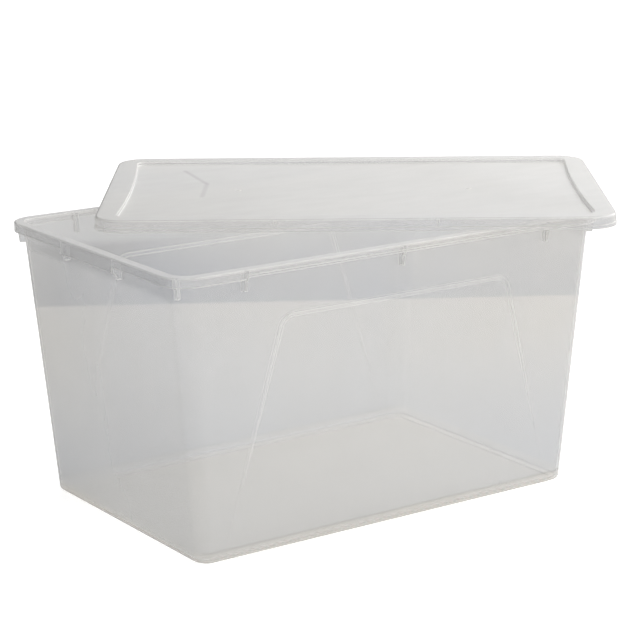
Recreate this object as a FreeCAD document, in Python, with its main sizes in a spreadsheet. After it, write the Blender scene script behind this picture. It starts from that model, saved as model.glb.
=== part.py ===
import FreeCAD, Part
import math
import os

import Sketcher

# Stackable storage bin: a tapered tub with a flanged rim, and a loose lid with
# a sunken panel that lies turned on top of the rim.
# Frame: +Z up, X along the bin's length, Y along its depth, the front long
# wall at -Y.  The origin is the centre of the face the bin stands on.

Vector = FreeCAD.Vector
os.makedirs("parts", exist_ok=True)
doc = FreeCAD.newDocument("storage_bin")

# ---------------------------------------------------------------- dimensions
# Millimetres and degrees.  An "overlap" is how far a feature starts inside the
# material it joins.
DRIVING = dict(
    # tub, outside: rim, wall at the top, wall at the foot
    rim_length=590.0, rim_depth=385.0, rim_corner=32.0,
    top_length=570.0, top_depth=365.0, top_corner=22.0,
    base_length=513.0, base_depth=333.0, base_corner=18.0,
    tub_height=330.0, wall_thick=2.2, floor_thick=2.6,
    heel_round=4.5, floor_round=4.0,
    # flange and its turned-down lip
    flange_thick=2.4, lip_drop=11.0, lip_thick=1.8, lip_overlap=0.6,
    rim_round=1.6, mouth_round=0.9,
    # foot that drops into the lid below when bins are stacked
    foot_height=2.5, foot_inset=8.0, foot_corner=12.0, foot_overlap=0.4,
    foot_round=0.8,
    # deeper lip on the short sides, for the hands
    grip_half=58.0, grip_drop=17.0, grip_overlap=1.2,
    # gussets between wall and lip; heel and toe are set in from the rim
    rib_thick=4.0, rib_reach=25.0, rib_spread=206.0, rib_turn=35.0,
    rib_heel_in=5.5, rib_toe_in=4.0, rib_toe_drop=2.0, rib_lip_overlap=0.4,
    rib_corner_low_in=3.5, rib_corner_top_in=1.2,
    # stepped trapezoid on the long walls
    panel_top=267.0, panel_foot=20.0, panel_fade=8.0,
    panel_top_half=150.0, panel_foot_half=222.0, panel_round=14.0,
    panel_step=1.4, panel_bevel=71.0, panel_skirt=7.6, panel_cut=2.5,
    # band of the long lips between the outer gussets, set back a little
    band_high=6.0, band_deep=0.8, band_short=2.0,
    band_foot_past_lip=0.2, band_foot_extra=1.0,
    # how far outside cuts run past the surface
    cut_clear=2.0,
    # lid; the overhang is its margin beyond the rim, all round
    lid_overhang=3.0, lid_skirt=14.5, lid_wall=1.8, lid_round=3.2,
    hem_height=4.5, hem_out=0.5, hem_round=0.4,
    recess_margin=24.5, recess_deep=4.7, recess_bow=6.0, recess_corner=11.5,
    recess_foot_round=1.4, recess_brow_round=1.0,
    boss_overlap=0.3, boss_round=1.2,
    gate_spread=139.0, gate_radius=3.0, gate_high=0.5, gate_overlap=0.5,
    gate_round=0.3,
    notch_spread=92.0, notch_wide=2.4, notch_deep=0.7, notch_high=7.0,
    # where the loose lid lies on the rim
    lid_at_x=103.6, lid_at_y=54.2, lid_turn=-34.3, lid_gap=0.1,
)


def as_size(number):
    return number if isinstance(number, Size) else Size(number, repr(number))


class Size:
    """A number together with the sheet expression that gives it.

    The number shapes a sketch's starting geometry; the expression drives it.
    """

    def __init__(self, value, text):
        self.value = value
        self.text = text

    def __add__(self, other):
        other = as_size(other)
        return Size(self.value + other.value, "(%s + %s)" % (self.text, other.text))

    def __sub__(self, other):
        other = as_size(other)
        return Size(self.value - other.value, "(%s - %s)" % (self.text, other.text))

    def __mul__(self, other):
        other = as_size(other)
        return Size(self.value * other.value, "(%s * %s)" % (self.text, other.text))

    def __truediv__(self, other):
        other = as_size(other)
        return Size(self.value / other.value, "(%s / %s)" % (self.text, other.text))

    def __rmul__(self, number):
        return as_size(number) * self

    def __neg__(self):
        return Size(-self.value, "(-%s)" % self.text)


def arctan(ratio):
    """Angle Size in degrees."""
    return Size(math.degrees(math.atan(ratio.value)), "atan(%s)" % ratio.text)


def tangent(angle):
    return Size(math.tan(math.radians(angle.value)), "tan(%s)" % angle.text)


class Dimensions:
    """Writes a table to the sheet; each entry becomes a Size attribute."""

    def __init__(self, sheet, table):
        for row, (name, value) in enumerate(table.items(), start=1):
            sheet.set("A%d" % row, name)
            sheet.set("B%d" % row, repr(value))
            sheet.setAlias("B%d" % row, name)
            setattr(self, name, Size(value, "Sheet." + name))


dim = Dimensions(doc.addObject("Spreadsheet::Sheet", "Sheet"), DRIVING)
doc.recompute()

ZERO = Size(0.0, "0")
HALF_TURN = Size(180.0, "180 deg")
FRONT_BACK = ((-1, "Front"), (1, "Back"))
LEFT_RIGHT = ((-1, "Left"), (1, "Right"))
CORNERS = ((1, 1), (-1, 1), (-1, -1), (1, -1))


def inset(rect, by):
    """Rounded rectangle (length, depth, corner) moved inward all round."""
    length, depth, corner = rect
    return length - 2 * by, depth - 2 * by, corner - by


RIM = (dim.rim_length, dim.rim_depth, dim.rim_corner)
TOP = (dim.top_length, dim.top_depth, dim.top_corner)
BASE = (dim.base_length, dim.base_depth, dim.base_corner)
FOOT = inset(BASE, dim.foot_inset)[:2] + (dim.foot_corner,)
LID = inset(RIM, -dim.lid_overhang)

WALL_RISE = dim.tub_height - dim.foot_height
FLOOR_LEVEL = dim.foot_height + dim.floor_thick
LIP_LEVEL = dim.tub_height - dim.lip_drop
GRIP_LEVEL = dim.tub_height - dim.grip_drop


# ---------------------------------------------------------------- sketches
def sketch_on(body, role, name, x=ZERO, z=ZERO, axis=Vector(0, 0, 1), turn=ZERO):
    """Sketch on an origin plane, shifted and turned in that plane's frame."""
    sketch = body.newObject("Sketcher::SketchObject", name)
    plane = next(f for f in body.Origin.OriginFeatures if f.Role == role)
    sketch.AttachmentSupport = [(plane, "")]
    sketch.MapMode = "FlatFace"
    sketch.AttachmentOffset = FreeCAD.Placement(
        Vector(x.value, 0, z.value), FreeCAD.Rotation(axis, turn.value))
    for path, move in (("Base.x", x), ("Base.z", z), ("Rotation.Angle", turn)):
        if move is not ZERO:
            sketch.setExpression("AttachmentOffset." + path, move.text)
    return sketch


def add_line(sketch, x0, y0, x1, y1):
    sketch.addGeometry(Part.LineSegment(Vector(x0, y0, 0), Vector(x1, y1, 0)), False)


def add_arc(sketch, x, y, radius, start, end):
    circle = Part.Circle(Vector(x, y, 0), Vector(0, 0, 1), radius)
    sketch.addGeometry(Part.ArcOfCircle(circle, start, end), False)


def constrain(sketch, *rules):
    sketch.addConstraint([Sketcher.Constraint(*rule) for rule in rules])


def measure(sketch, label, size, kind, *where):
    """Named constraint whose value is bound to the sheet."""
    index = sketch.addConstraint(Sketcher.Constraint(kind, *where, size.value))
    sketch.renameConstraint(index, label)
    sketch.setExpression("Constraints." + label, size.text)


def rounded_rect(sketch, rect, tag=""):
    """Centred rounded rectangle from a (length, depth, corner) triple."""
    length, depth, corner = rect
    a, b, radius = length.value / 2, depth.value / 2, corner.value
    inner_x, inner_y = a - radius, b - radius
    first = sketch.GeometryCount
    add_line(sketch, -inner_x, -b, inner_x, -b)
    add_line(sketch, a, -inner_y, a, inner_y)
    add_line(sketch, inner_x, b, -inner_x, b)
    add_line(sketch, -a, inner_y, -a, -inner_y)
    for side_x, side_y, start in ((1, -1, 270), (1, 1, 0), (-1, 1, 90), (-1, -1, 180)):
        add_arc(sketch, side_x * inner_x, side_y * inner_y, radius,
                math.radians(start), math.radians(start + 90))
    for i in range(4):
        constrain(sketch,
                  ("Tangent", first + i, 2, first + 4 + i, 1),
                  ("Tangent", first + 4 + i, 2, first + (i + 1) % 4, 1))
    constrain(sketch,
              ("Horizontal", first), ("Vertical", first + 1),
              ("Horizontal", first + 2), ("Vertical", first + 3),
              ("Equal", first + 4, first + 5), ("Equal", first + 4, first + 6),
              ("Equal", first + 4, first + 7),
              ("Symmetric", first, 1, first + 2, 1, -1, 1))
    measure(sketch, "Length" + tag, length, "DistanceX", first + 3, 1, first + 1, 1)
    measure(sketch, "Depth" + tag, depth, "DistanceY", first, 1, first + 2, 1)
    measure(sketch, "Corner" + tag, corner, "Radius", first + 4)


def rect_sketch(body, name, rect, height=ZERO):
    sketch = sketch_on(body, "XY_Plane", name, z=height)
    rounded_rect(sketch, rect)
    return sketch


def polygon(sketch, points, tag):
    """Closed outline through (x, y) Sizes, each held from the sketch origin."""
    first, count = sketch.GeometryCount, len(points)
    for i, (x, y) in enumerate(points):
        next_x, next_y = points[(i + 1) % count]
        add_line(sketch, x.value, y.value, next_x.value, next_y.value)
    constrain(sketch, *[("Coincident", first + i, 2, first + (i + 1) % count, 1)
                        for i in range(count)])
    for i, (x, y) in enumerate(points):
        measure(sketch, "X%s%d" % (tag, i), x, "DistanceX", -1, 1, first + i, 1)
        measure(sketch, "Y%s%d" % (tag, i), y, "DistanceY", -1, 1, first + i, 1)


def rectangle(sketch, x0, x1, y0, y1, tag):
    polygon(sketch, [(x0, y0), (x1, y0), (x1, y1), (x0, y1)], tag)


# ---------------------------------------------------------------- features
def extrude(kind, body, sketch, name, length, reverse=False, middle=False, taper=None):
    feature = body.newObject("PartDesign::" + kind, name)
    feature.Profile = sketch
    if taper is not None:
        feature.setExpression("TaperAngle", taper.text)
    feature.Reversed = reverse
    feature.Midplane = middle
    feature.setExpression("Length", length.text)
    body.Tip = feature
    sketch.Visibility = False
    doc.recompute()


def pad(*args, **options):
    extrude("Pad", *args, **options)


def pocket(*args, **options):
    extrude("Pocket", *args, **options)


def loft(kind, body, name, outlines):
    feature = body.newObject("PartDesign::" + kind, name)
    feature.Profile = outlines[0]
    feature.Sections = outlines[1:]
    feature.Ruled = True
    body.Tip = feature
    doc.recompute()


def fillet(body, name, radius, chosen):
    """Round the edges of the body's tip that pass the test `chosen`."""
    base = body.Tip
    names = ["Edge%d" % i for i, edge in enumerate(base.Shape.Edges, start=1)
             if chosen(edge)]
    if not names:
        raise RuntimeError(name + " found no edges")
    feature = body.newObject("PartDesign::Fillet", name)
    feature.Base = (base, names)
    feature.setExpression("Radius", radius.text)
    body.Tip = feature
    doc.recompute()


def level(edge, height):
    """Whether an edge lies flat at a height."""
    box = edge.BoundBox
    return abs(box.ZMin - height.value) < 0.02 and abs(box.ZMax - height.value) < 0.02


def reaches(edge, rect, slack):
    """Whether an edge gets past a centred rectangle drawn in by `slack`."""
    box = edge.BoundBox
    half_x = rect[0].value / 2 - slack
    half_y = rect[1].value / 2 - slack
    return (box.XMax > half_x or box.XMin < -half_x
            or box.YMax > half_y or box.YMin < -half_y)


# ================================================================= tub
def wall_outlines(tub, name, top_name, bottom, round_radius, skin):
    """Loft outlines, `skin` inside the outer wall face.

    The first five turn the wall into the underside or floor with a round that
    starts at height `bottom`; the last is at the top.
    """
    outlines = []
    for i, degrees in enumerate((0, 22.5, 45, 67.5, 90)):
        turn = math.radians(degrees)
        height = bottom + (1 - math.cos(turn)) * round_radius
        share = (height - dim.foot_height) / WALL_RISE
        wall = [low + (high - low) * share for low, high in zip(BASE, TOP)]
        setback = skin + (1 - math.sin(turn)) * round_radius
        outlines.append(rect_sketch(tub, "%s%d" % (name, i), inset(wall, setback), height))
    outlines.append(rect_sketch(tub, top_name, inset(TOP, skin), dim.tub_height))
    return outlines


def add_walls_and_foot(tub):
    """Solid tapered block; its foot stands proud, a little inside the heel."""
    loft("AdditiveLoft", tub, "Walls",
         wall_outlines(tub, "HeelOutline", "ShoulderOutline", dim.foot_height,
                       dim.heel_round, ZERO))
    thickness = dim.foot_height + dim.foot_overlap
    sketch = rect_sketch(tub, "FootOutline", FOOT, thickness)
    pad(tub, sketch, "Foot", thickness, reverse=True)
    fillet(tub, "FootRound", dim.foot_round, lambda edge: level(edge, ZERO))


def add_rim(tub):
    """Flange, its turned-down lip, and the deeper lip on the short sides."""
    sketch = rect_sketch(tub, "RimOutline", RIM, dim.tub_height)
    pad(tub, sketch, "Flange", dim.flange_thick, reverse=True)

    sketch = sketch_on(tub, "XY_Plane", "LipOutline", z=dim.tub_height - dim.lip_overlap)
    rounded_rect(sketch, RIM, "Out")
    rounded_rect(sketch, inset(RIM, dim.lip_thick), "In")
    pad(tub, sketch, "Lip", dim.lip_drop - dim.lip_overlap, reverse=True)

    sketch = sketch_on(tub, "XY_Plane", "GripOutline", z=dim.tub_height - dim.grip_overlap)
    for side, tag in LEFT_RIGHT:
        rectangle(sketch, side * (dim.rim_length / 2),
                  side * (dim.rim_length / 2 - dim.lip_thick),
                  -dim.grip_half, dim.grip_half, tag)
    pad(tub, sketch, "GripLip", dim.grip_drop - dim.grip_overlap, reverse=True)


RIB_LOW = dim.tub_height - dim.rib_reach
RIB_TOP = dim.tub_height - dim.flange_thick / 2


def wall_middle(half_base, half_top, height):
    """Distance out to the middle of the sloping wall's thickness."""
    out = half_base + (half_top - half_base) * (height - dim.foot_height) / WALL_RISE
    return out - dim.wall_thick / 2


def gusset(sketch, wall_low, wall_top, rim, lip_level, side, tag):
    """Gusset outline, from the wall outward to mid-thickness of the lip."""
    lip_middle = rim - dim.lip_thick / 2
    points = [(wall_low, RIB_LOW),
              (rim - dim.rib_heel_in, RIB_LOW),
              (rim - dim.rib_toe_in, lip_level - dim.rib_toe_drop),
              (lip_middle, lip_level + dim.rib_lip_overlap),
              (lip_middle, RIB_TOP),
              (wall_top, RIB_TOP)]
    polygon(sketch, [(side * out, z) for out, z in points], tag)


def gusset_pairs(tub, name, role, offsets, base, top, rim, lip_level, sides):
    """At each offset along the walls, gussets on two opposite sides."""
    for i, offset in enumerate(offsets):
        sketch = sketch_on(tub, role, "%sOutline%d" % (name, i), z=offset)
        for side, tag in sides:
            gusset(sketch, wall_middle(base / 2, top / 2, RIB_LOW),
                   wall_middle(base / 2, top / 2, RIB_TOP),
                   rim / 2, lip_level, side, tag)
        pad(tub, sketch, "%s%d" % (name, i), dim.rib_thick, middle=True)


def add_gussets(tub):
    # long sides: at the middle and near the ends
    gusset_pairs(tub, "LongRib", "YZ_Plane", [place * dim.rib_spread for place in (-1, 0, 1)],
                 dim.base_depth, dim.top_depth, dim.rim_depth, LIP_LEVEL, FRONT_BACK)
    # short sides: at each end of the deeper lip
    gusset_pairs(tub, "GripRib", "XZ_Plane", [place * dim.grip_half for place in (-1, 1)],
                 dim.base_length, dim.top_length, dim.rim_length, GRIP_LEVEL, LEFT_RIGHT)
    # corners: one each, turned outward about the corner's own centre; the
    # XZ plane's normal is along -Y
    for i, (side_x, side_y) in enumerate(CORNERS):
        sketch = sketch_on(
            tub, "XZ_Plane", "CornerRibOutline%d" % i,
            x=side_x * (dim.top_length / 2 - dim.top_corner),
            z=-side_y * (dim.top_depth / 2 - dim.top_corner),
            axis=Vector(0, 1, 0),
            turn=as_size(0 if side_x > 0 else 180) + side_x * side_y * dim.rib_turn)
        gusset(sketch, dim.top_corner - dim.rib_corner_low_in,
               dim.top_corner - dim.rib_corner_top_in,
               dim.rim_corner, LIP_LEVEL, 1, "Rib")
        pad(tub, sketch, "CornerRib%d" % i, dim.rib_thick, middle=True)


def hollow_out(tub):
    """Inside of the walls, then a tray that keeps the foot one thickness."""
    loft("SubtractiveLoft", tub, "Hollow",
         wall_outlines(tub, "FloorOutline", "MouthOutline", FLOOR_LEVEL,
                       dim.floor_round, dim.wall_thick))
    sketch = rect_sketch(tub, "TrayOutline", inset(FOOT, dim.floor_thick), FLOOR_LEVEL)
    pocket(tub, sketch, "FloorTray", dim.foot_height)


def trapezoid(sketch, grow):
    """Trapezoid with rounded top corners, `grow` outside the panel's own."""
    foot_half = dim.panel_foot_half + grow
    top_half = dim.panel_top_half + grow
    top = dim.panel_top + grow
    radius = dim.panel_round + grow
    # the leg's slope, and the sharp corner's distance to the arc's ends
    leg = arctan((top - dim.panel_foot) / (foot_half - top_half))
    cut = radius / tangent((HALF_TURN - leg) / 2)
    straight_half = top_half - cut

    foot_x, foot_z = foot_half.value, dim.panel_foot.value
    top_x, top_z = straight_half.value, top.value
    slant = math.radians(leg.value)
    leg_x = top_half.value + math.cos(slant) * cut.value
    leg_z = top_z - math.sin(slant) * cut.value
    add_line(sketch, -foot_x, foot_z, foot_x, foot_z)
    add_line(sketch, foot_x, foot_z, leg_x, leg_z)
    add_line(sketch, top_x, top_z, -top_x, top_z)
    add_line(sketch, -leg_x, leg_z, -foot_x, foot_z)
    tilt = math.pi / 2 - slant
    arc_z = top_z - radius.value
    add_arc(sketch, top_x, arc_z, radius.value, tilt, math.pi / 2)
    add_arc(sketch, -top_x, arc_z, radius.value, math.pi / 2, math.pi - tilt)
    constrain(sketch,
              ("Coincident", 0, 2, 1, 1), ("Coincident", 3, 2, 0, 1),
              ("Tangent", 1, 2, 4, 1), ("Tangent", 2, 1, 4, 2),
              ("Tangent", 2, 2, 5, 1), ("Tangent", 3, 1, 5, 2),
              ("Equal", 4, 5),
              ("Symmetric", 0, 1, 0, 2, -2), ("Symmetric", 2, 1, 2, 2, -2))
    measure(sketch, "Foot", foot_half, "DistanceX", -1, 1, 0, 2)
    measure(sketch, "FootAt", dim.panel_foot, "DistanceY", -1, 1, 0, 2)
    measure(sketch, "Top", top, "DistanceY", -1, 1, 2, 1)
    measure(sketch, "Round", radius, "Radius", 4)
    measure(sketch, "TopRun", 2 * straight_half, "DistanceX", 2, 2, 2, 1)


def add_panels(tub):
    """Trapezoid on each long wall, on a plane that leans less than the wall.

    The step is deepest at the top and dies away towards the heel.
    """
    slope = (dim.top_depth - dim.base_depth) / 2 / WALL_RISE
    lean = arctan(slope) - arctan(dim.panel_step / (dim.panel_top - dim.panel_fade))
    # distance out to the leaning plane at z = 0
    out = (dim.base_depth / 2 + slope * (dim.panel_fade - dim.foot_height)
           - tangent(lean) * dim.panel_fade)

    for side, tag in FRONT_BACK:
        spot = dict(z=-side * out, axis=Vector(1, 0, 0), turn=-side * lean)
        # inside: a raised field keeps the wall's thickness behind the step
        sketch = sketch_on(tub, "XZ_Plane", "PanelBackingOutline" + tag, **spot)
        trapezoid(sketch, dim.panel_skirt)
        pad(tub, sketch, "PanelBacking" + tag, dim.wall_thick,
            reverse=side < 0, taper=-dim.panel_bevel)
        # outside: the field is cut down to the plane, with a wide bevel
        sketch = sketch_on(tub, "XZ_Plane", "PanelOutline" + tag, **spot)
        trapezoid(sketch, ZERO)
        pocket(tub, sketch, "Panel" + tag, dim.panel_cut,
               reverse=side < 0, taper=dim.panel_bevel)


def trim_long_lips(tub, name, height, inward, length):
    """Cut the long lips, between the outer gussets, downward from a height."""
    sketch = sketch_on(tub, "XY_Plane", name + "Outline", z=height)
    for side, tag in FRONT_BACK:
        rectangle(sketch, -dim.rib_spread, dim.rib_spread,
                  side * (dim.rim_depth / 2 - inward),
                  side * (dim.rim_depth / 2 + dim.cut_clear), tag)
    pocket(tub, sketch, name, length)


def build_tub():
    tub = doc.addObject("PartDesign::Body", "Tub")
    tub.Label = "tub"
    add_walls_and_foot(tub)
    add_rim(tub)
    add_gussets(tub)
    hollow_out(tub)
    add_panels(tub)
    # set back and shortened, so that fingers find the lid's edge
    trim_long_lips(tub, "Band", dim.tub_height - dim.band_high, dim.band_deep, dim.lip_drop)
    trim_long_lips(tub, "BandFoot", LIP_LEVEL + dim.band_short,
                   dim.lip_thick + dim.band_foot_past_lip,
                   dim.band_short + dim.band_foot_extra)
    fillet(tub, "RimRound", dim.rim_round,
           lambda edge: level(edge, dim.tub_height) and reaches(edge, RIM, 0.5))
    fillet(tub, "MouthRound", dim.mouth_round,
           lambda edge: level(edge, dim.tub_height) and not reaches(edge, TOP, 0.0))
    return tub


# ================================================================= lid
# Drawn about its own centre with z = 0 at the top of its border, then placed.
def add_border(lid):
    """Block with a hem round its foot, hollowed to leave border and skirt."""
    sketch = rect_sketch(lid, "BorderOutline", inset(LID, dim.hem_out))
    pad(lid, sketch, "Block", dim.lid_skirt, reverse=True)
    fillet(lid, "BorderRound", dim.lid_round, lambda edge: level(edge, ZERO))

    sketch = rect_sketch(lid, "HemOutline", LID, -dim.lid_skirt)
    pad(lid, sketch, "Hem", dim.hem_height)
    hem_top = dim.hem_height - dim.lid_skirt
    fillet(lid, "HemRound", dim.hem_round,
           lambda edge: level(edge, hem_top) and reaches(edge, LID, 0.05))

    sketch = rect_sketch(lid, "UndersideOutline", inset(LID, dim.hem_out + dim.lid_wall),
                         -dim.lid_skirt)
    pocket(lid, sketch, "Underside", dim.lid_skirt - dim.lid_wall, reverse=True)
    fillet(lid, "UndersideRound", dim.lid_round - dim.lid_wall,
           lambda edge: level(edge, -dim.lid_wall))


def bowed_rect(sketch, grow):
    """Recess outline moved out by `grow`: short edges bowed inward."""
    half_length = LID[0] / 2 - dim.recess_margin + grow
    half_depth = LID[1] / 2 - dim.recess_margin + grow
    corner = dim.recess_corner + grow
    bow = dim.recess_bow
    bow_radius = (bow * bow + half_depth * half_depth) / (2 * bow)
    bow_centre = half_length - bow + bow_radius

    b, radius = half_depth.value, corner.value
    big_radius, big_x = bow_radius.value, bow_centre.value
    # centre of a corner arc, and the point where it meets the bow
    arc_y = b - radius
    arc_x = big_x - math.sqrt((big_radius + radius) ** 2 - arc_y ** 2)
    reach = math.hypot(arc_x - big_x, arc_y)
    meet_x = big_x + (arc_x - big_x) / reach * big_radius
    meet_y = arc_y / reach * big_radius
    angle = math.atan2(meet_y, meet_x - big_x)

    add_line(sketch, -arc_x, -b, arc_x, -b)
    add_line(sketch, arc_x, b, -arc_x, b)
    add_arc(sketch, big_x, 0, big_radius, angle, 2 * math.pi - angle)
    add_arc(sketch, -big_x, 0, big_radius, angle - math.pi, math.pi - angle)
    for side_x, side_y in CORNERS:
        start = math.atan2(side_y * (meet_y - arc_y), side_x * (meet_x - arc_x))
        end = math.pi / 2 * side_y
        if side_x * side_y < 0:
            start, end = end, start
        while end < start:
            end += 2 * math.pi
        add_arc(sketch, side_x * arc_x, side_y * arc_y, radius, start, end)

    # the last four are the corner arcs, named by (+X or -X, back or front)
    bottom, top, right, left, right_back, left_back, left_front, right_front = range(8)
    constrain(sketch,
              ("Tangent", top, 1, right_back, 2), ("Tangent", right, 1, right_back, 1),
              ("Tangent", top, 2, left_back, 1), ("Tangent", left, 2, left_back, 2),
              ("Tangent", bottom, 1, left_front, 2), ("Tangent", left, 1, left_front, 1),
              ("Tangent", bottom, 2, right_front, 1), ("Tangent", right, 2, right_front, 2),
              ("Horizontal", bottom),
              ("Equal", right_back, left_back), ("Equal", right_back, left_front),
              ("Equal", right_back, right_front), ("Equal", right, left),
              ("Symmetric", bottom, 1, top, 1, -1, 1),
              ("Symmetric", right, 3, left, 3, -1, 1),
              ("PointOnObject", right, 3, -1))
    measure(sketch, "Depth", 2 * half_depth, "DistanceY", bottom, 1, top, 1)
    measure(sketch, "Corner", corner, "Radius", right_back)
    measure(sketch, "Bow", bow_radius, "Radius", right)
    measure(sketch, "BowAt", bow_centre, "DistanceX", -1, 1, right, 3)


def add_sunken_panel(lid):
    """A boss of the panel's outline below, then the recess on top."""
    underside = -dim.recess_deep - dim.lid_wall
    sketch = sketch_on(lid, "XY_Plane", "PanelUnderOutline", z=underside)
    bowed_rect(sketch, dim.lid_wall)
    pad(lid, sketch, "PanelUnder", dim.recess_deep + dim.boss_overlap)
    fillet(lid, "PanelUnderRound", dim.boss_round, lambda edge: level(edge, underside))

    sketch = sketch_on(lid, "XY_Plane", "RecessOutline")
    bowed_rect(sketch, ZERO)
    pocket(lid, sketch, "Recess", dim.recess_deep)
    fillet(lid, "RecessFoot", dim.recess_foot_round,
           lambda edge: level(edge, -dim.recess_deep))
    recess = inset(LID, dim.recess_margin)
    fillet(lid, "RecessBrow", dim.recess_brow_round,
           lambda edge: level(edge, ZERO) and not reaches(edge, recess, -0.5))


def add_gate_marks(lid):
    """Two low discs on the panel, on the long centreline."""
    sketch = sketch_on(lid, "XY_Plane", "GateOutline",
                       z=-dim.recess_deep - dim.gate_overlap)
    for i, side in enumerate((1, -1)):
        place = side * dim.gate_spread
        sketch.addGeometry(Part.Circle(Vector(place.value, 0, 0), Vector(0, 0, 1),
                                       dim.gate_radius.value), False)
        constrain(sketch, ("PointOnObject", i, 3, -1))
        measure(sketch, "At%d" % i, place, "DistanceX", -1, 1, i, 3)
        measure(sketch, "Round%d" % i, dim.gate_radius, "Radius", i)
    pad(lid, sketch, "GateMarks", dim.gate_high + dim.gate_overlap)
    mark_top = dim.gate_high - dim.recess_deep
    fillet(lid, "GateRound", dim.gate_round, lambda edge: level(edge, mark_top))


def cut_notches(lid):
    """Shallow upright notches in the long skirts, two on each side."""
    sketch = sketch_on(lid, "XY_Plane", "NotchOutline")
    face = LID[1] / 2 - dim.hem_out
    for i, (side_x, side_y) in enumerate(CORNERS):
        middle = side_x * dim.notch_spread
        rectangle(sketch, middle - dim.notch_wide / 2, middle + dim.notch_wide / 2,
                  side_y * (face - dim.notch_deep), side_y * (face + dim.cut_clear),
                  "N%d" % i)
    pocket(lid, sketch, "Notches", dim.notch_high)


def place_lid(lid):
    """Lay the lid loose across the rim, turned out of line with the tub."""
    height = dim.tub_height + dim.lid_skirt + dim.lid_gap
    lid.Placement = FreeCAD.Placement(
        Vector(dim.lid_at_x.value, dim.lid_at_y.value, height.value),
        FreeCAD.Rotation(Vector(0, 0, 1), dim.lid_turn.value))
    for path, size in (("Base.x", dim.lid_at_x), ("Base.y", dim.lid_at_y),
                       ("Base.z", height), ("Rotation.Angle", dim.lid_turn)):
        lid.setExpression("Placement." + path, size.text)


def build_lid():
    lid = doc.addObject("PartDesign::Body", "Lid")
    lid.Label = "lid"
    add_border(lid)
    add_sunken_panel(lid)
    add_gate_marks(lid)
    cut_notches(lid)
    place_lid(lid)
    return lid


# ---------------------------------------------------------------- export
bodies = (build_tub(), build_lid())
doc.recompute()

for obj in doc.Objects:
    if "Invalid" in obj.State or "Error" in obj.State:
        raise RuntimeError("%s is %s" % (obj.Name, obj.State))
for body in bodies:
    if body.Shape.isNull() or not body.Shape.isValid():
        raise RuntimeError(body.Label + " has a bad shape")
    if len(body.Shape.Solids) != 1:
        raise RuntimeError(body.Label + " is not one solid")
for body in bodies:
    body.Shape.exportStep("parts/" + body.Label + ".step")
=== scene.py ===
# A tub of translucent natural polypropylene under its lid, on a pale stage.
# It stands on z = 0 with its long walls facing +Y and -Y and its short sides
# facing +X and -X. The camera looks down on it from -X and -Y. Metres, +Z up.
import math
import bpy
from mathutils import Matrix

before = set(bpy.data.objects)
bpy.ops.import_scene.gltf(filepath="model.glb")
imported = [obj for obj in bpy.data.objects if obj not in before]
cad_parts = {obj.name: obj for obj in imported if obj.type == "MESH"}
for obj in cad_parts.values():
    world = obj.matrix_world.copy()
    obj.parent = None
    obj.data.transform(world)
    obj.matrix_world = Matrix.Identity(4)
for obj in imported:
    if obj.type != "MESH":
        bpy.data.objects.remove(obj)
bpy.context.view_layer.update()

from types import SimpleNamespace

import bpy
from mathutils import Matrix, Vector

scene = bpy.context.scene

WHITE = (1.0, 1.0, 1.0, 1)
BRIGHT_SIDE = (0.81, -0.58)     # x and y of the lit side, to the camera's right


# ------------------------------------------------------------ node helpers
def operator(operation, swapped=False):
    """An arithmetic method that adds one Math node."""
    def method(self, other):
        pair = (other, self) if swapped else (self, other)
        return self.tree.math(operation, *pair)
    return method


class Value:
    """A node output; arithmetic on it adds Math nodes to its tree."""

    def __init__(self, tree, socket):
        self.tree = tree
        self.socket = socket

    __add__ = operator("ADD")
    __radd__ = operator("ADD", swapped=True)
    __sub__ = operator("SUBTRACT")
    __rsub__ = operator("SUBTRACT", swapped=True)
    __mul__ = operator("MULTIPLY")
    __rmul__ = operator("MULTIPLY", swapped=True)
    __rtruediv__ = operator("DIVIDE", swapped=True)

    def __abs__(self):
        return self.tree.math("ABSOLUTE", self)


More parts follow.
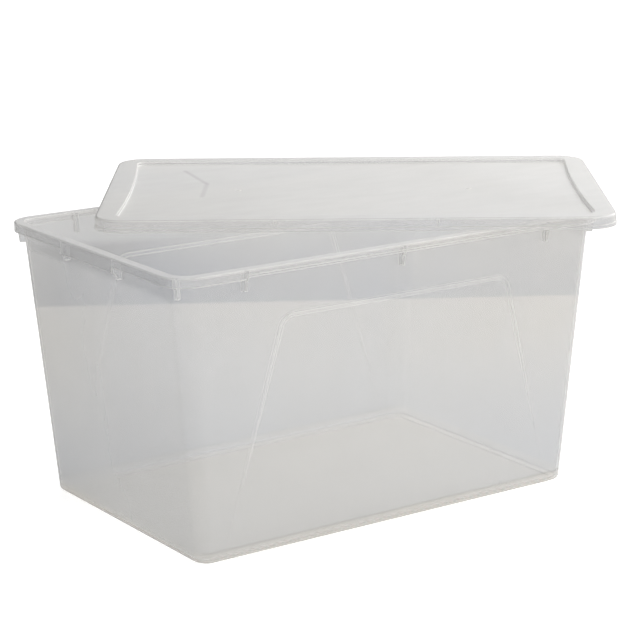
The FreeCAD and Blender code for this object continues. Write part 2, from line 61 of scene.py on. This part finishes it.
class Tree:
    """Builds the node tree of a material or world from an empty start."""

    def __init__(self, owner):
        owner.use_nodes = True
        self.tree = owner.node_tree
        self.tree.nodes.clear()

    def outputs(self, kind, names, inputs=None, **settings):
        """Add a node and return the named outputs."""
        node = self.tree.nodes.new("ShaderNode" + kind)
        node.location.x = 180 * len(self.tree.nodes)
        for key, value in settings.items():
            setattr(node, key, value)
        for key, value in (inputs or {}).items():
            if isinstance(value, Value):
                self.tree.links.new(value.socket, node.inputs[key])
            else:
                node.inputs[key].default_value = value
        return [Value(self, node.outputs[name]) for name in names]

    def add(self, kind, inputs=None, out=0, **settings):
        return self.outputs(kind, [out], inputs, **settings)[0]

    def math(self, operation, *values, clamp=False):
        return self.add("Math", dict(enumerate(values)),
                        operation=operation, use_clamp=clamp)

    def vector(self, operation, first, second, out=0):
        return self.add("VectorMath", {0: first, 1: second}, out, operation=operation)

    def dot(self, first, second):
        return self.vector("DOT_PRODUCT", first, second, out="Value")

    def scaled(self, vector, amount):
        return self.add("VectorMath", {0: vector, "Scale": amount}, operation="SCALE")

    def split(self, vector):
        return self.outputs("SeparateXYZ", "XYZ", {0: vector})

    def mix(self, share, first, second):
        return self.add("Mix", {"Factor": share, 6: first, 7: second}, out=2,
                        data_type="RGBA")

    def mix_shader(self, share, first, second):
        return self.add("MixShader", {0: share, 1: first, 2: second})

    def add_shader(self, first, second):
        return self.add("AddShader", {0: first, 1: second})

    def noise(self, place, scale, detail, roughness):
        return self.add("TexNoise", {"Vector": place, "Scale": scale,
                                     "Detail": detail, "Roughness": roughness},
                        out="Fac")

    def ramp(self, value, over, to=(0.0, 1.0)):
        """Map the range `over` linearly on to the range `to`."""
        return self.add("MapRange", {"Value": value,
                                     "From Min": over[0], "From Max": over[1],
                                     "To Min": to[0], "To Max": to[1]})

    def fall(self, value, over):
        return self.ramp(value, over, to=(1.0, 0.0))

    def band(self, value, rise, fall):
        """1 between the two ranges, fading to 0 across each."""
        return self.ramp(value, rise) * self.fall(value, fall)

    def finish(self, kind, surface):
        self.outputs(kind, (), {"Surface": surface})


# ------------------------------------------------------------ plastic
MILK = (0.88, 0.872, 0.86, 1)               # colour of the cloudy part
MILK_SCUFFED = tuple(c * 1.05 for c in MILK[:3]) + (1,)

# Faint handling creases on the lid's top, drawn as lines of painted shade: points along
# them, and the painted shade of each stretch between two points.
CREASE_POINTS = [(0.0025, 0.2801, 0.3399), (-0.0205, 0.1901, 0.3399),
                 (-0.0679, 0.1246, 0.3399)]
CREASE_PAINTED_SHADE = (0.13, 0.10)
CREASE_EDGE = (0.0012, 0.0042)              # distance over which a crease fades

SIDE_FADE = (0.22, 0.66)                    # `toward` from lee side to lit side


def read_face(tree, flow):
    """What the shader needs to know about the point it is shading."""
    normal, back, incoming = tree.outputs(
        "NewGeometry", ("Normal", "Backfacing", "Incoming"))
    place = tree.add("TexCoord", out="Object")
    # the clouds and scuffs are drawn out along the flow of the melt
    stretched = tree.add("Mapping", {"Vector": place, "Scale": flow})
    x, _, z = tree.split(place)
    normal_x, normal_y, normal_z = tree.split(normal)
    up_share = abs(normal_z)
    toward = normal_x * BRIGHT_SIDE[0] + normal_y * BRIGHT_SIDE[1]
    return SimpleNamespace(
        normal=normal, back=back, incoming=incoming, place=place, x=x, z=z,
        normal_x=normal_x, normal_y=normal_y, normal_z=normal_z,
        up_share=up_share, toward=toward + up_share * 0.5,
        cloud=tree.noise(stretched, scale=3.2, detail=4.0, roughness=0.55),
        fine=tree.noise(place, scale=420.0, detail=3.0, roughness=0.6),
        scuff=tree.noise(stretched, scale=46.0, detail=5.0, roughness=0.62))


def moulded_edge(tree, face):
    """1 where a rounded-off normal turns away from the true one."""
    soft = tree.add("Bevel", {"Radius": 0.0014}, samples=5)
    cosine = tree.math("MINIMUM", tree.dot(soft, face.normal), 0.99999)
    return tree.ramp(tree.math("ARCCOSINE", cosine), over=(0.045, 0.19))


def rounding_lines(tree, face):
    """A line of painted shade where a rounded edge leaves the flat, a painted highlight
    line further round.
    """
    outer = 1.0 - face.back
    true_up = face.normal_z * (1.0 - face.back * 2.0)
    dark = tree.band(true_up, rise=(0.78, 0.86), fall=(0.955, 0.985))
    light = tree.band(face.up_share, rise=(0.25, 0.40), fall=(0.66, 0.76))
    heel = tree.fall(face.z, over=(0.02, 0.03))
    return dark * tree.math("MAXIMUM", outer, heel), light * outer


def clear_share(tree, face, clear, edge, painted_shade_line, is_tub):
    """Light let straight through, by the thickness along the line of sight."""
    cosine = abs(tree.dot(face.incoming, face.normal))
    path = 1.0 / tree.math("MAXIMUM", cosine, 0.13)     # held to a limit
    if is_tub:      # the short sides are moulded a little thinner
        short_side = tree.ramp(abs(face.normal_x), over=(0.6, 0.9))
        path = path * (1.0 - short_side * 0.15)
    # edges and the painted shade lines count as extra thickness
    path = path + edge * 5.0
    path = path + painted_shade_line * 2.0
    cloudiness = 1.0 + (face.cloud - 0.5) * 0.5
    return tree.math("POWER", clear, path * cloudiness)


def tub_floor(tree, face):
    """1 on the level floor of the tub."""
    return (tree.fall(face.z, over=(0.010, 0.014))
            * tree.ramp(face.up_share, over=(0.95, 0.995)))


def clear_tint(tree, face, is_tub):
    """Colour of the light that comes straight through."""
    tint = tree.mix(tree.ramp(face.cloud, over=(0.35, 0.65)),
                    (0.985, 0.99, 1.0, 1), (1.0, 0.995, 0.985, 1))
    if is_tub:      # cool low on the walls, warm on the floor
        low_wall = tree.band(face.z, rise=(0.012, 0.016), fall=(0.05, 0.20))
        tint = tree.mix(low_wall, tint, (0.974, 0.983, 1.0, 1))
        tint = tree.mix(tub_floor(tree, face), tint, (1.0, 0.99, 0.965, 1))
    return tint


def warm_floor_and_painted_light(tree, face, body):
    """Warm the tub's floor, with painted light making it brighter towards +X, the lit
    side.
    """
    warm = tree.mix(tree.ramp(face.x, over=(-0.15, 0.22)),
                    (0.945, 0.92, 0.875, 1), (1.0, 0.975, 0.93, 1))
    return tree.mix(tub_floor(tree, face), body, warm)


def tub_shade(tree, face, shade):
    # the floor's own thickness shows as a line along the long walls
    long_wall = (tree.fall(face.up_share, over=(0.35, 0.50))
                 * tree.ramp(abs(face.normal_y), over=(0.6, 0.8)))
    floor_line = tree.band(face.z, rise=(0.0124, 0.0142), fall=(0.0148, 0.0166))
    shade = shade * (1.0 - floor_line * long_wall * 0.46)
    # painted light: the rolled-under foot, facing down, is made lighter
    foot = (tree.fall(face.up_share, over=(0.90, 0.97))
            * tree.fall(face.z, over=(0.0110, 0.0118)))
    shade = shade * (1.0 + foot * 0.08)
    # painted shade on the lip on the side turned away from the light
    lip = (tree.ramp(face.z, over=(0.296, 0.304))
           * tree.fall(face.toward, over=(-0.8, -0.2)))
    return shade * (1.0 - lip * 0.38)


def crease(tree, place, start, end):
    """1 on the line from start to end, falling to 0 a few millimetres away."""
    start = Vector(start)
    span = Vector(end) - start
    offset = tree.vector("SUBTRACT", place, start)
    along = tree.dot(offset, span / span.length_squared)
    nearest = tree.scaled(span, tree.math("MULTIPLY", along, 1.0, clamp=True))
    gap = tree.vector("DISTANCE", offset, nearest, out="Value")
    return tree.fall(gap, over=CREASE_EDGE)


def lid_shade(tree, face, shade):
    # painted shade: a little darker towards -X, the end turned from the light
    shade = shade * tree.ramp(face.x, over=(-0.24, 0.02), to=(0.93, 1.0))
    # painted shade along the creases
    for start, end, crease_shade in zip(CREASE_POINTS, CREASE_POINTS[1:], CREASE_PAINTED_SHADE):
        shade = shade * (1.0 - crease_shade * crease(tree, face.place, start, end))
    return shade


def body_colour(tree, face, edge, painted_shade_line, lee_shade, is_tub):
    """Colour of the cloudy part, with all its painted shade and light."""
    body = tree.mix(tree.ramp(face.scuff, over=(0.3, 0.75)), MILK, MILK_SCUFFED)
    lee = tree.fall(face.toward, over=SIDE_FADE)
    # painted shade: the dark rounding lines, and edges turned away from the light
    shade = 1.0 - painted_shade_line * 0.38
    shade = shade * (1.0 - edge * lee * lee_shade)
    if is_tub:
        body = warm_floor_and_painted_light(tree, face, body)
        shade = tub_shade(tree, face, shade)
    else:
        shade = lid_shade(tree, face, shade)
    return tree.scaled(body, shade)


def edge_glow(tree, face, edge, painted_highlight_line, rim_glow, is_tub):
    """Painted highlight: an emission glow on the moulded edges, in place of light they
    would gather, mostly on the lit side.
    """
    strength = edge * rim_glow + painted_highlight_line * (rim_glow * 0.6)
    if is_tub:      # painted glow, weaker at the lip
        strength = strength * tree.ramp(face.z, over=(0.285, 0.300), to=(1.0, 0.66))
    strength = strength * tree.ramp(face.toward, over=SIDE_FADE, to=(0.10, 1.0))
    return tree.add("Emission", {"Color": (1.0, 0.96, 0.90, 1), "Strength": strength})


def plastic(name, clear, veil, gloss_rough, flow, rim_glow, lee_shade, is_tub):
    """Translucent natural polypropylene, one face of a thin sheet.

    clear        light one face lets straight through, looked at square on
    veil         share of the cloudy part that glows from the light behind it
    gloss_rough  roughness of the gloss where it is least scuffed
    flow         texture stretch along the flow of the melt
    rim_glow     painted highlight: extra glow painted on the moulded edges
    lee_shade    painted shade on the edges turned away from the light
    is_tub       warm floor with painted light towards +X, painted foot light and lip shade, quieter edges low down; otherwise the creased lid with painted shade
    """
    material = bpy.data.materials.new(name)
    tree = Tree(material)
    face = read_face(tree, flow)
    edge = moulded_edge(tree, face)
    # low on the tub the edges carry less painted glow and shade
    if is_tub:
        edge = edge * tree.ramp(face.z, over=(0.07, 0.17), to=(0.10, 1.0))
    painted_shade_line, painted_highlight_line = rounding_lines(tree, face)

    bump = tree.add("Bump", {"Strength": 0.10, "Distance": 0.0002,
                             "Height": face.fine})
    body = {"Color": body_colour(tree, face, edge, painted_shade_line, lee_shade, is_tub),
            "Normal": bump}
    cloudy = tree.mix_shader(veil, tree.add("BsdfDiffuse", body),
                             tree.add("BsdfTranslucent", body))
    # painted highlight: the emission glow on the edges
    glow = edge_glow(tree, face, edge, painted_highlight_line, rim_glow, is_tub)
    glass = tree.add("BsdfTransparent", {"Color": clear_tint(tree, face, is_tub)})
    sheet = tree.mix_shader(
        clear_share(tree, face, clear, edge, painted_shade_line, is_tub),
        tree.add_shader(cloudy, glow), glass)

    roughness = tree.ramp(face.scuff, over=(0.3, 0.8),
                          to=(gloss_rough, gloss_rough + 0.12))
    gloss = tree.add("BsdfGlossy", {"Color": WHITE, "Roughness": roughness,
                                    "Normal": bump})
    fresnel = tree.add("Fresnel", {"IOR": 1.49, "Normal": bump})
    # the far face of the sheet must not act as a mirror from inside
    shine = tree.math("MINIMUM", fresnel * (1.0 - face.back), 0.6)
    tree.finish("OutputMaterial", tree.mix_shader(shine, sheet, gloss))
    return material


looks = {
    "tub": plastic("tub_plastic_look", clear=0.85, veil=0.36, gloss_rough=0.10,
                   flow=(1.0, 1.0, 0.35), rim_glow=0.21, lee_shade=0.12,
                   is_tub=True),
    "lid": plastic("lid_plastic_look", clear=0.80, veil=0.40, gloss_rough=0.14,
                   flow=(0.35, 1.0, 1.0), rim_glow=0.11, lee_shade=0.0,
                   is_tub=False),
}
for piece, look in looks.items():
    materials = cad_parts[piece].data.materials
    materials.clear()
    materials.append(look)

# ------------------------------------------------------------ stage
# Tones of the surroundings as seen through the plastic, a painted backdrop; its left part
# is darker, painted shade.
THROUGH_NEAR = (0.54, 0.53, 0.505, 1)
THROUGH_LOW = (0.73, 0.72, 0.70, 1)
THROUGH_HIGH = (0.46, 0.48, 0.525, 1)
THROUGH_LEFT = (0.43, 0.46, 0.53, 1)
THROUGH_TOP = (0.64, 0.64, 0.645, 1)
LEFT_PART = (0.06, 0.30)        # fade out of the frame's left part

FLOOR_SIZE, FLOOR_Z = 60.0, -0.0004
FLOOR_COLOUR = (0.70, 0.70, 0.695, 1)
FLOOR_LIFT = 0.62               # extra brightness of the floor to the camera

# Brightness of the room: all round, towards the bright side, overhead, and
# the least anywhere; ROOM_GLINT is the most that the gloss mirrors.
ROOM_BASE, ROOM_SIDE, ROOM_TOP, ROOM_LEAST = 0.60, 1.05, 0.24, 0.02
ROOM_GLINT = 0.75


def view_through(tree):
    """Painted backdrop: what shows behind the plastic, by place in the frame (0 to 1 each
    way), with painted shade on the left.
    """
    across, upward, _ = tree.split(tree.add("TexCoord", out="Window"))
    level = upward - across * 0.022         # the backdrop's foot is tilted
    below = tree.mix(tree.ramp(level, over=(0.10, 0.42)), THROUGH_NEAR, THROUGH_LOW)
    high = tree.mix(tree.ramp(across, over=LEFT_PART), THROUGH_LEFT, THROUGH_HIGH)
    above = tree.mix(tree.ramp(level, over=(0.53, 0.63)), high, THROUGH_TOP)
    # the backdrop begins a little above the middle of the frame
    backdrop = tree.ramp(level, over=(0.5128, 0.5168))
    # painted shade: darker to the left, more so on the backdrop, but never at the top
    dim = tree.ramp(across, over=(0.04, 0.42), to=(0.72, 1.0))
    dim = dim * (1.0 - backdrop * 0.27 * tree.fall(across, over=LEFT_PART))
    dim = tree.math("MAXIMUM", dim, tree.ramp(level, over=(0.57, 0.62), to=(0.0, 0.94)))
    return tree.add("Emission", {"Color": tree.mix(backdrop, below, above),
                                 "Strength": dim})


def floor_material():
    material = bpy.data.materials.new("stage_floor")
    tree = Tree(material)
    depth, from_camera = tree.outputs("LightPath", ("Transparent Depth", "Is Camera Ray"))
    is_through = tree.math("GREATER_THAN", depth, 0.5) * from_camera
    pale = tree.add("BsdfDiffuse", {"Color": FLOOR_COLOUR})
    lift = tree.add("Emission", {"Color": WHITE, "Strength": from_camera * FLOOR_LIFT})
    tree.finish("OutputMaterial", tree.mix_shader(
        is_through, tree.add_shader(pale, lift), view_through(tree)))
    return material


def build_floor():
    material = floor_material()
    bpy.ops.mesh.primitive_plane_add(size=FLOOR_SIZE, location=(0, 0, FLOOR_Z))
    floor = bpy.context.active_object
    floor.name = "stage_floor"
    floor.data.materials.append(material)


def build_world():
    """White to the camera; the plastic is lit by a dim room, dark on the left."""
    world = bpy.data.worlds.new("stage_world")
    scene.world = world
    tree = Tree(world)
    depth, from_camera, from_gloss = tree.outputs(
        "LightPath", ("Transparent Depth", "Is Camera Ray", "Is Glossy Ray"))
    seen = tree.mix(tree.math("GREATER_THAN", depth, 0.5), WHITE, THROUGH_HIGH)

    x, y, z = tree.split(tree.add("TexCoord", out="Generated"))
    side = x * BRIGHT_SIDE[0] + y * BRIGHT_SIDE[1]
    room = ROOM_BASE + side * ROOM_SIDE
    room = room + tree.math("MAXIMUM", z, 0.0) * ROOM_TOP
    room = tree.math("MAXIMUM", room, ROOM_LEAST)
    # mirrored in the plastic the bright side stays a soft sheen
    glint = room - tree.math("MINIMUM", room, ROOM_GLINT)
    room = room - glint * from_gloss
    grey = tree.add("CombineColor", {channel: room * 1.0 for channel in range(3)})
    tree.finish("OutputWorld", tree.add("Background", {
        "Color": tree.mix(from_camera, grey, seen), "Strength": 1.0}))


def area_light(name, place, target, size, power, tint=(1, 1, 1)):
    data = bpy.data.lights.new(name, "AREA")
    data.shape = "RECTANGLE"
    data.size, data.size_y = size
    data.energy = power
    data.color = tint
    light = bpy.data.objects.new(name, data)
    scene.collection.objects.link(light)
    light.location = place
    aim = Vector(target) - Vector(place)
    light.rotation_euler = aim.to_track_quat("-Z", "Y").to_euler()
    light.visible_camera = False


build_floor()
build_world()
area_light("light_top", place=(0.6, 0.0, 2.4), target=(0.1, 0, 0.2),
           size=(2.0, 2.0), power=5.0)
area_light("light_right", place=(1.45, 0.1, 1.3), target=(0.1, 0, 0.3),
           size=(0.9, 1.2), power=10.0, tint=(1.0, 0.985, 0.96))
area_light("light_left", place=(-2.6, -0.9, 1.3), target=(0, 0, 0.2),
           size=(1.2, 1.8), power=0.3, tint=(0.93, 0.96, 1.0))

# ------------------------------------------------------------ camera
YAW = math.radians(35.292)      # from +Y towards +X
PITCH = math.radians(14.357)    # downwards
ROLL = math.radians(-0.292)
DISTANCE = 2.7083               # back from the origin along the view
MOVE_RIGHT, MOVE_UP = 0.0550, 0.2030
SENSOR, LENS = 36.0, 127.89653  # millimetres
SHIFT_X, SHIFT_Y = -0.062302839, -0.0025236593


def build_camera():
    forward = Vector((math.sin(YAW) * math.cos(PITCH),
                      math.cos(YAW) * math.cos(PITCH), -math.sin(PITCH)))
    level = Vector((math.cos(YAW), -math.sin(YAW), 0.0))
    plumb = level.cross(forward)
    right = math.cos(ROLL) * level + math.sin(ROLL) * plumb
    up = math.cos(ROLL) * plumb - math.sin(ROLL) * level
    data = bpy.data.cameras.new("camera")
    camera = bpy.data.objects.new("camera", data)
    scene.collection.objects.link(camera)
    camera.matrix_world = Matrix((right, up, -forward)).transposed().to_4x4()
    camera.location = -DISTANCE * forward + right * MOVE_RIGHT + up * MOVE_UP
    data.sensor_width = SENSOR
    data.lens = LENS
    data.shift_x, data.shift_y = SHIFT_X, SHIFT_Y
    data.clip_start, data.clip_end = 0.05, 100.0
    scene.camera = camera


build_camera()
scene.view_settings.view_transform = "Standard"
if hasattr(scene, "cycles"):    # absent where the Cycles add-on is off
    scene.cycles.transparent_max_bounces = 48
    scene.cycles.max_bounces = 10
